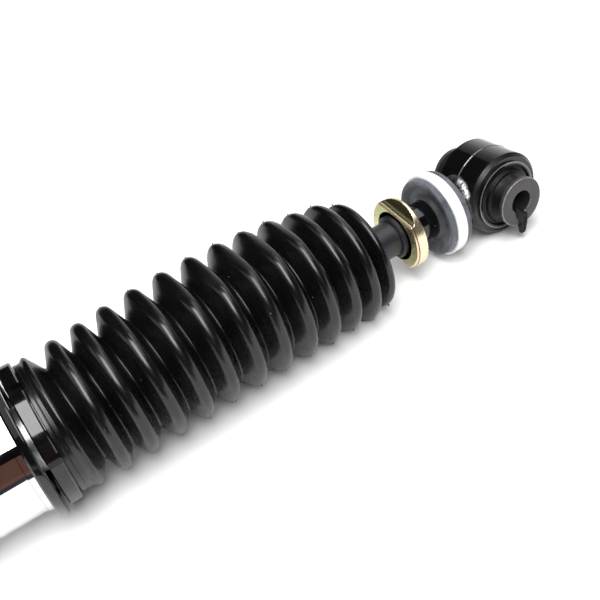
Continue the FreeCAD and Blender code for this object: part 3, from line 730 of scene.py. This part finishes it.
def make_spring():
    """Round wire in nine turns, its two end turns closed up and ground flat."""
    low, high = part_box("coil_spring")
    wire = 3.0 * MM
    coil = high.z - wire
    turns, around, per_turn = 9.0, 16, 56
    closed_turns = 1.15

    def from_end(turn):
        return wire * 0.35 + wire * 2.02 * turn * 0.55

    def station(turn):
        if turn < closed_turns:
            return low.x + from_end(turn)
        if turn > turns - closed_turns:
            return high.x - from_end(turns - turn)
        first, last = low.x + from_end(closed_turns), high.x - from_end(closed_turns)
        share = (turn - closed_turns) / (turns - 2 * closed_turns)
        return first + (last - first) * share

    def make(made):
        rows = []
        steps = int(turns * per_turn)
        for step in range(steps + 1):
            turn = step / per_turn
            angle = turn * FULL_TURN
            middle = Vector((station(turn), coil * math.cos(angle), coil * math.sin(angle)))
            out = Vector((0, math.cos(angle), math.sin(angle)))
            row = []
            for side in range(around):
                lean = side * FULL_TURN / around
                spot = middle + wire * (out * math.cos(lean) + Vector((1, 0, 0)) * math.sin(lean))
                spot.x = min(max(spot.x, low.x + 0.05 * MM), high.x - 0.05 * MM)
                row.append(made.verts.new(spot))
            rows.append(row)
        for here, there in zip(rows, rows[1:]):
            for side in range(around):
                after = (side + 1) % around
                made.faces.new((here[side], here[after], there[after], there[side]))
        made.faces.new(rows[0][::-1])
        made.faces.new(rows[-1])
    spring = piece_from("wound_spring", make, "spring_steel", "damper")
    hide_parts("coil_spring")
    folds_with_rod(spring, low.x, high.x)


make_spring()


# ---------------------------------------------------------------- lock ring and jam nut

def make_lock_ring():
    """Plain ring with a rim that falls away towards the can and softly rounded corners."""
    low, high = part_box("lock_ring")
    bore = 27.55 * MM
    line = rounded([
        (low.x, bore, 0.2 * MM), (low.x, 32.6 * MM, 0.5 * MM), (low.x + 0.8 * MM, 33.6 * MM, 0.6 * MM),
        (high.x - 0.5 * MM, high.z + 0.02 * MM, 0.7 * MM), (high.x, 33.8 * MM, 0.3 * MM),
        (high.x, bore, 0.2 * MM),
    ], steps=5)
    ring = piece_from("plain_lock_ring", turned_shape(line, 256, about_x), "gloss_black", "damper")
    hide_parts("lock_ring")


def make_jam_nut():
    """Round nut, with two bevelled flats milled into its front that run out before its back."""
    low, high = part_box("jam_nut")
    bore = 9.06 * MM
    flat, lean = 13.4 * MM, math.radians(12)
    across = Vector((0, -math.sin(lean), math.cos(lean)))
    outside = high.z
    start, runout = low.x + 0.9 * MM, 3.9 * MM
    stations = [start + 0.05 * MM + step * runout / 16 for step in range(18)]
    line = rounded([
        (low.x, bore, 0.3 * MM), (low.x, outside - 1.1 * MM, 0.35 * MM),
        (low.x + 0.9 * MM, outside, 0.35 * MM),
    ], steps=4)
    line += [Vector((station, outside)) for station in stations[1:]]
    line += rounded([
        (high.x - 1.2 * MM, outside, 0), (high.x, outside, 0.45 * MM), (high.x, bore, 0.3 * MM),
        (low.x + 2 * MM, bore, 0),
    ], steps=4)
    face_radii_mm = (11.0, 12.0, 12.6, 13.1, 13.6, 14.4, 15.4, 16.4)
    bore_corner = 5
    line[bore_corner:bore_corner] = [Vector((low.x, radius * MM)) for radius in face_radii_mm]

    def place(along, out, share):
        spot = about_x(along, out, share)
        run = min(1.0, max(0.0, (along - start) / runout))
        bevel = max(0.0, 0.85 * MM - (along - low.x)) * 1.1
        beyond = abs(spot.dot(across)) - (flat - bevel + (outside - flat) * run ** 2.4)
        if beyond > 0 and run < 1:
            spot -= across * math.copysign(beyond, spot.dot(across))
        return spot
    nut = piece_from("flatted_nut", turned_shape(line, 320, place), "yellow_zinc", "rod", crease=24)
    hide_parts("jam_nut")


make_lock_ring()
make_jam_nut()


# ---------------------------------------------------------------- cushion

def make_cushion():
    """Dished rubber cushion: a front lip, a seat for its band and a fuller rim behind."""
    low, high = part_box("bump_cushion")
    front, back = low.x, high.x
    band_seat, rim = 19.9 * MM, 21.1 * MM
    line = rounded([
        (front + 0.3 * MM, 10.05 * MM, 0.2 * MM),
        (front + 0.3 * MM, 10.5 * MM, 0.3 * MM),
        (front + 2.6 * MM, 12.2 * MM, 2.0 * MM),
        (front + 2.9 * MM, 15.6 * MM, 2.0 * MM),
        (front + 0.4 * MM, 18.4 * MM, 0.9 * MM),
        (front, 19.6 * MM, 0.6 * MM),
        (front + 0.6 * MM, 20.3 * MM, 0.5 * MM),
        (front + 3.2 * MM, 20.5 * MM, 0.4 * MM),
        (front + 3.3 * MM, band_seat, 0.15 * MM),
        (front + 8.8 * MM, band_seat, 0.15 * MM),
        (front + 8.9 * MM, rim, 0.4 * MM),
        (back - 1.6 * MM, rim, 1.3 * MM),
        (back, 18.9 * MM, 1.2 * MM),
        (back, 10.0 * MM, 0.2 * MM),
    ], steps=6)
    uneven = waves(random.Random(11), 4, 0.10 * MM)

    def place(along, out, share):
        grip = min(1.0, max(0.0, (out - 11 * MM) / (6 * MM)))
        on_band_seat = front + 3 * MM < along < front + 9 * MM and out > 19 * MM
        if not on_band_seat:
            out += grip * (uneven(share * FULL_TURN) - 0.08 * MM)
            along += grip * uneven(share * FULL_TURN + 1.3) * 0.6
        return about_x(max(along, front), out, share)
    cushion = piece_from("dished_cushion", turned_shape(line, 160, place), "cushion_rubber", "rod")
    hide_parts("bump_cushion")


make_cushion()


# ---------------------------------------------------------------- weld

def make_weld():
    """A weld bead laid in short overlapping ripples round the foot of the eye's neck."""
    eye_x = eye_centres["upper"]
    ring = 11.6 * MM
    ripples = 38
    rng = random.Random(5)
    lumps = [rng.uniform(-1, 1) for _ in range(64)]
    wander = waves(rng, 6, 0.35 * MM)

    def place(along, out, share):
        angle = share * FULL_TURN
        lean = math.atan2(out, along)
        ripple_turn = share * ripples + 0.35 * math.cos(lean) + 0.5 * wander(angle) / MM
        ripple = ripple_turn % 1.0
        lump = lumps[int(ripple_turn) % len(lumps)]
        thick = (2.1 + 0.34 * lump + 0.22 * math.sin(math.pi * ripple) ** 0.7) * MM
        radius = ring + wander(angle) * 0.6
        z = radius * math.sin(angle)
        foot = eye_x - math.sqrt(EYE_RADIUS ** 2 - z ** 2)
        return Vector((
            foot - 0.15 * MM + thick * math.cos(lean),
            (radius + thick * math.sin(lean)) * math.cos(angle),
            (radius + thick * math.sin(lean)) * math.sin(angle),
        ))
    sides = 22
    angles = [side * FULL_TURN / sides for side in range(sides)]
    circle = [Vector((math.cos(angle), math.sin(angle))) for angle in angles]
    weld = piece_from("rippled_weld", turned_shape(circle, 360, place), "weld_metal", "rod", crease=80)
    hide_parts("weld_bead")


make_weld()


# ---------------------------------------------------------------- bushes

def about_eye_bore(centre, slot=0.0):
    """Placing function about an eye's bore, with an open slot of that width facing down."""
    def place(along, out, share):
        gap = math.asin(min(1.0, slot / 2 / out)) if slot else 0.0
        angle = -math.pi / 2 + gap + share * (FULL_TURN - 2 * gap)
        return Vector((centre + out * math.cos(angle), along, out * math.sin(angle)))
    return place


def open_turned_shape(line, turns, place):
    """Mesh maker: like turned_shape, but the turn stays open and both ends are closed off."""
    def make(made):
        rows = [
            [made.verts.new(place(along, out, step / turns)) for along, out in line]
            for step in range(turns + 1)
        ]
        for here, there in zip(rows, rows[1:]):
            for index in range(len(line)):
                following = (index + 1) % len(line)
                made.faces.new((here[index], here[following], there[following], there[index]))
        for end in (rows[0], rows[-1]):
            made.faces.new(end)
    return make


def bush_rubber_line():
    """Half-width outline of the bonded rubber: stepped cone, shallow groove and skirt at both ends."""
    near = [
        (-23.05, 9.1, 0.2), (-23.05, 10.7, 0.6), (-19.6, 11.6, 1.2), (-17.6, 12.3, 0.6),
        (-17.1, 13.5, 0.5), (-15.5, 13.9, 0.6), (-14.9, 14.9, 0.5), (-14.5, 15.98, 0.3),
    ]
    far = [(-along, out, radius) for along, out, radius in near[::-1]]
    return rounded([(along * MM, out * MM, radius * MM) for along, out, radius in near + far], steps=4)


def sleeve_line():
    """The rolled sleeve: its tube, and the flange it is rolled out into."""
    corners = [
        (-SLEEVE_END_MM, SLEEVE_BORE_MM, 0.35), (-SLEEVE_END_MM, FLANGE_RADIUS_MM, 0.45),
        (-FLANGE_BACK_MM, FLANGE_RADIUS_MM, 0.35), (-FLANGE_BACK_MM, SLEEVE_RADIUS_MM, 0.15),
        (SLEEVE_END_MM, SLEEVE_RADIUS_MM, 0.15), (SLEEVE_END_MM, SLEEVE_BORE_MM, 0.3),
    ]
    return rounded([(along * MM, out * MM, radius * MM) for along, out, radius in corners], steps=4)


def tongue_section(width, front, fold, thick):
    """One level of the folded tongue: a strip creased into two ridges, as front and back points."""
    stops = (-1.0, -0.78, -0.45, -0.12, 0.2, 0.55, 0.82, 1.0)
    creases = (0.2, 0.75, 1.0, 0.15, 0.1, 0.9, 0.7, 0.1)
    face = [(width * stop, front - fold * crease) for stop, crease in zip(stops, creases)]
    back = [(x * 0.94, min(y + thick, -23.6 * MM)) for x, y in face[::-1]]
    return face + back


def make_tongue(prefix, centre, rng):
    """Rubber flash squeezed out of the sleeve's seam, folded over and hanging below the flange."""
    levels = (
        # height, shift, half width, front, fold, thickness
        (-1.6, -3.6, 0.30, -25.8, 0.05, 0.7), (-2.8, -3.3, 0.75, -26.1, 0.30, 1.2),
        (-4.6, -2.5, 1.35, -26.2, 0.60, 1.6), (-6.4, -1.3, 2.3, -26.25, 0.80, 1.8),
        (-7.6, -0.2, 3.1, -26.25, 0.85, 1.9), (-9.2, 0.3, 2.9, -26.2, 0.85, 1.9),
        (-11.0, 0.3, 2.3, -26.2, 0.80, 1.8), (-12.6, -0.1, 2.5, -26.3, 0.80, 1.8),
        (-14.4, -0.5, 1.9, -26.4, 0.70, 1.7), (-16.2, -0.6, 1.7, -26.45, 0.60, 1.6),
        (-17.2, -0.7, 1.1, -26.4, 0.35, 1.2), (-17.6, -0.8, 0.5, -26.3, 0.10, 0.8),
    )

    def make(made):
        rows = []
        for height, shift, width, front, fold, thick in levels:
            jitter = rng.uniform(-0.12, 0.12)
            rows.append([
                made.verts.new(Vector((centre + (shift + jitter) * MM + x, y, height * MM)))
                for x, y in tongue_section(width * MM, front * MM, fold * MM, thick * MM)
            ])
        for here, there in zip(rows, rows[1:]):
            for index in range(len(here)):
                following = (index + 1) % len(here)
                made.faces.new((here[index], here[following], there[following], there[index]))
        made.faces.new(rows[0])
        made.faces.new(rows[-1])
        bmesh.ops.triangulate(made, faces=[f for f in made.faces if len(f.verts) > 4])
        bmesh.ops.subdivide_edges(made, edges=made.edges, cuts=1, use_grid_fill=True, smooth=0.6)
    tongue = piece_from(f"{prefix}_seam_tongue", make, "bush_rubber", f"{prefix}_bush", crease=50)
    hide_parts(f"{prefix}_bush_tab")


def make_bush(prefix, centre, rng):
    """The bonded rubber of an eye, its rolled sleeve and the tongue in the sleeve's seam."""
    rubber = piece_from(
        f"{prefix}_bonded_rubber", turned_shape(bush_rubber_line(), 128, about_eye_bore(centre)),
        "bush_rubber", "damper" if prefix == "lower" else "rod",
    )
    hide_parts(f"{prefix}_bush_rubber")
    sleeve = piece_from(
        f"{prefix}_rolled_sleeve",
        open_turned_shape(sleeve_line(), 120, about_eye_bore(centre, SLEEVE_SEAM)),
        "black_steel", f"{prefix}_bush", finish=finishes[f"{prefix}_sleeve"],
    )
    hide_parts(f"{prefix}_sleeve")
    make_tongue(prefix, centre, rng)


rng_bush = random.Random(23)
for prefix, centre in eye_centres.items():
    make_bush(prefix, centre, rng_bush)


# ---------------------------------------------------------------- stage

ring_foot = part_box("lock_ring")[0]
eye_foot = Vector((eye_centres["upper"], 0, -EYE_PARTING_LINE))
FLOOR_SLOPE = (eye_foot.z - ring_foot.z) / (eye_foot.x - ring_foot.x)


def on_floor(x, y, above=0.0):
    """A point over the table, which touches the lock ring and the upper eye."""
    return Vector((x, y, ring_foot.z + (x - ring_foot.x) * FLOOR_SLOPE + above))


def stage_plane(name, corner, along, across, colour, strength=0.0, only_reflected=False):
    """A flat board of the stage, lit by the lights or glowing by itself."""
    made = bmesh.new()
    spots = [corner, corner + along, corner + along + across, corner + across]
    made.faces.new([made.verts.new(spot) for spot in spots])
    mesh = bpy.data.meshes.new(name)
    made.to_mesh(mesh)
    made.free()
    board = bpy.data.objects.new(name, mesh)
    bpy.context.scene.collection.objects.link(board)
    f = Finish(f"{name}_surface", Roughness=0.9, Specular_IOR_Level=0.0, Emission_Strength=strength)
    f.set(Base_Color=f.mix(f.noise(60), colour, tuple(0.97 * c for c in colour)))
    if strength:
        f.set(Emission_Color=colour, Base_Color=(0.0, 0.0, 0.0))
    mesh.materials.append(f.material)
    if only_reflected:
        board.visible_camera = board.visible_diffuse = board.visible_shadow = False
        board.visible_transmission = False
    return board


def floor_strip(name, left, right, near, far, shade, above=0.5 * MM, **settings):
    """A piece of the table top between two stations and two distances across."""
    start = on_floor(left, near, above)
    return stage_plane(
        name, start, on_floor(right, near, above) - start, Vector((0, far - near, 0)), shade, **settings,
    )


floor_strip("floor", -4, 4, -4, 4, (0.86, 0.86, 0.86), above=0)

BROWN_WOOD = (0.043, 0.0215, 0.016)
only_in_gloss = {"strength": 1.0, "only_reflected": True}
floor_strip("table_edge_shade", -0.3, 0.27, -0.26, -0.155, (0.012, 0.012, 0.016), **only_in_gloss)
floor_strip("wooden_table", -0.2, 0.22, -0.66, -0.26, BROWN_WOOD, **only_in_gloss)
floor_strip("table_side_shade", 0.22, 0.32, -0.66, -0.26, (0.012, 0.012, 0.014), **only_in_gloss)
floor_strip("far_table_shade", -1.5, 0.42, 0.055, 1.4, (0.30, 0.30, 0.31), **only_in_gloss)
stage_plane(
    "wooden_wall", on_floor(-0.2, -0.66), Vector((0.42, 0, 0)), Vector((0, 0, 0.345)),
    BROWN_WOOD, **only_in_gloss,
)


def pale_backdrop():
    """A board beyond the eye that only shows in reflections, brightest at the table and dim above."""
    board = stage_plane(
        "pale_backdrop", on_floor(0.9, 1.5), Vector((1.6, -1.6, 0)), Vector((0, 0, 1.7)),
        (0.9, 0.9, 0.9), 1.0, only_reflected=True,
    )
    f = Finish("backdrop_glow", Roughness=0.9, Specular_IOR_Level=0.0, Emission_Strength=1.2)
    f.set(Base_Color=(0.0, 0.0, 0.0))
    height = f.parts()[2]
    f.set(Emission_Color=f.mix(height.from_to(0.2, 1.5), (1.0, 1.0, 1.0), (0.25, 0.25, 0.25)))
    board.data.materials.clear()
    board.data.materials.append(f.material)


pale_backdrop()
stage_plane(
    "pale_board_over_eye", Vector((0.60, -0.6, 1.0)), Vector((0.6, 0, 0)), Vector((0, 1.15, 0)),
    (1.25, 1.25, 1.25), **only_in_gloss,
)
stage_plane(
    "pale_board_over_can", Vector((-2.6, -1.6, 1.9)), Vector((2.0, 0, 0)), Vector((0, 3.2, 0)),
    (0.55, 0.55, 0.56), **only_in_gloss,
)


def soft_light(name, place, aim, *, width, height, radiance, in_reflections=True):
    """A soft box of that size and brightness, facing aim."""
    lamp = bpy.data.lights.new(name, "AREA")
    lamp.shape = "RECTANGLE"
    lamp.size, lamp.size_y = width, height
    lamp.energy = radiance * math.pi * width * height
    holder = bpy.data.objects.new(name, lamp)
    bpy.context.scene.collection.objects.link(holder)
    holder.location = place
    holder.rotation_mode = "QUATERNION"
    holder.rotation_quaternion = (Vector(aim) - Vector(place)).to_track_quat("-Z", "Y")
    holder.visible_glossy = in_reflections


soft_light(
    "overhead_soft_box", (0.14, -0.46, 0.98), (0.24, 0, 0), width=0.60, height=1.04, radiance=9.5,
)
soft_light(
    "back_fill", (0.0, 1.1, 0.9), (0.27, 0, 0), width=1.6, height=0.8, radiance=1.5,
    in_reflections=False,
)


def studio_air():
    """The room: pale where it is seen, soft where it lights the parts, and dark in their gloss."""
    world = bpy.data.worlds.new("studio")
    bpy.context.scene.world = world
    world.use_nodes = True
    nodes, links = world.node_tree.nodes, world.node_tree.links
    ray = nodes.new("ShaderNodeLightPath")
    shade = (0.004, 0.004, 0.0045, 1)
    link = None
    for kind, tone in (("Is Diffuse Ray", 0.55), ("Is Camera Ray", 0.93)):
        mix = nodes.new("ShaderNodeMix")
        mix.data_type = "RGBA"
        links.new(ray.outputs[kind], mix.inputs[0])
        if link:
            links.new(link, mix.inputs[6])
        else:
            mix.inputs[6].default_value = shade
        mix.inputs[7].default_value = (tone, tone, tone, 1)
        link = mix.outputs[2]
    links.new(link, nodes["Background"].inputs["Color"])


studio_air()

CAMERA_PLACE = Vector((0.21391, -0.27901, 0.21583))
HEADING, TILT, ROLL = (math.radians(angle) for angle in (23.096, -36.169, -15.207))

camera_data = bpy.data.cameras.new("camera")
camera_data.lens = 47.61
camera_data.sensor_width = 36
camera_data.clip_start = 0.01
camera = bpy.data.objects.new("camera", camera_data)
bpy.context.scene.collection.objects.link(camera)
forward = Vector((
    math.cos(TILT) * math.sin(HEADING), math.cos(TILT) * math.cos(HEADING), math.sin(TILT),
))
level = forward.cross(Vector((0, 0, 1))).normalized()
up = level.cross(forward)
right = math.cos(ROLL) * level + math.sin(ROLL) * up
top = right.cross(forward)
pose = Matrix((right, top, -forward)).transposed().to_4x4()
pose.translation = CAMERA_PLACE
camera.matrix_world = pose
bpy.context.scene.camera = camera
bpy.context.scene.view_settings.view_transform = "Standard"
